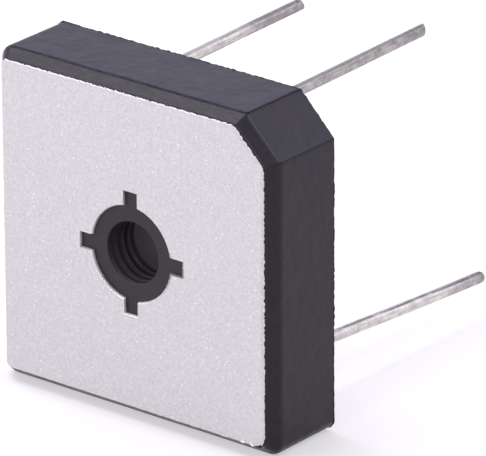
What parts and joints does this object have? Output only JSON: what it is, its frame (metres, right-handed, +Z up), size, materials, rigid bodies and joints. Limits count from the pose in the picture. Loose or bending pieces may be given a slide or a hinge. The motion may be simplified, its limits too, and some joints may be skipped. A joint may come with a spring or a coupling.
{
  "type": "bridge rectifier",
  "caption": "Square moulded bridge rectifier with a metal base plate, a mounting hole through its middle, a cut corner and straight wire leads.",
  "frame": {"origin": "where the axis of the mounting hole meets the plane of the base plate's outer face", "axes": "+X to the right across the base plate, seen from its outer face; +Y from the base plate towards the tips of the leads; +Z up, away from the side it stands on"},
  "size_m": [0.0286, 0.035, 0.0286],
  "materials": {
    "plate": "fine grained, matt",
    "moulding": "matt epoxy moulding compound",
    "insulation": "matt",
    "copper": "bright copper strip",
    "silicon": "polished",
    "solder": "dull solder",
    "wire": "dull tinned wire"
  },
  "bodies": {
    "root": {"base_plate": "plate", "case": "moulding", "insulating_sheet": "insulation", "strip_positive": "copper", "strip_negative": "copper", "strip_ac_left": "copper", "strip_ac_right": "copper", "die_1": "silicon", "die_2": "silicon", "die_3": "silicon", "die_4": "silicon", "solder_under_die_1": "solder", "solder_under_die_2": "solder", "solder_under_die_3": "solder", "solder_under_die_4": "solder", "solder_over_die_1": "solder", "solder_over_die_2": "solder", "solder_over_die_3": "solder", "solder_over_die_4": "solder", "lead_positive": "wire", "lead_negative": "wire", "lead_ac_left": "wire", "lead_ac_right": "wire", "solder_lead_positive": "solder", "solder_lead_negative": "solder", "solder_lead_ac_left": "solder", "solder_lead_ac_right": "solder"}
  },
  "joints": []
}
